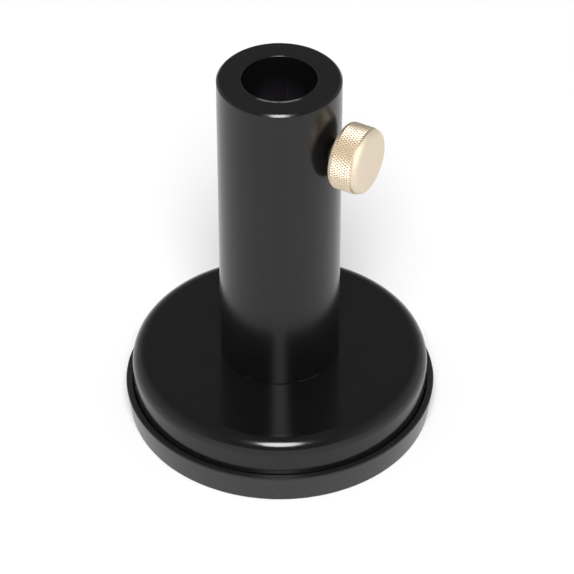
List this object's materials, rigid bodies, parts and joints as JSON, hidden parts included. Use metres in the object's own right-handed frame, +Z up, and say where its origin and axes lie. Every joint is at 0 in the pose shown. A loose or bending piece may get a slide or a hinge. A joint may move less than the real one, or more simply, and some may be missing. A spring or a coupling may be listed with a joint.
{
  "type": "post holder",
  "caption": "Bored black tube with a knurled brass thumbscrew through its wall, on a round magnetic foot in a rubber boot; it clamps an upright post on a bench.",
  "frame": {"origin": "on the bench, under the centre of the foot, on the tube's axis", "axes": "+Z up along the tube; +X along the thumbscrew, towards its head"},
  "size_m": [0.0666, 0.0666, 0.0854],
  "materials": {
    "black_anodise": "satin black anodise",
    "pale_brass": "turned and knurled, bright",
    "white_nylon": "natural nylon",
    "black_enamel": "gloss black paint",
    "grey_ferrite": "ground ferrite",
    "black_rubber": "smooth moulded rubber",
    "plated_steel": "zinc plated"
  },
  "bodies": {
    "holder": {"post_tube": "black_anodise", "base_cup": "black_enamel", "ring_magnet": "grey_ferrite", "rubber_boot": "black_rubber", "base_screw": "plated_steel", "lock_washer": "plated_steel"},
    "tip": {"thumbscrew_tip": "white_nylon"},
    "thumbscrew": {"thumbscrew": "pale_brass"}
  },
  "joints": [
    {"name": "thumbscrew_advance", "type": "slide", "parent": "holder", "child": "tip", "axis": [1, 0, 0], "range_m": [-0.0014, 0.0032]},
    {"name": "thumbscrew_turn", "type": "hinge", "parent": "tip", "child": "thumbscrew", "pos_m": [0.0143, 0, 0.0716], "axis": [1, 0, 0], "range_deg": [-630, 1440]}
  ],
  "couplings": [
    {"joint": "thumbscrew_advance", "follows": "thumbscrew_turn", "m_per_rad": 0.00012633}
  ]
}
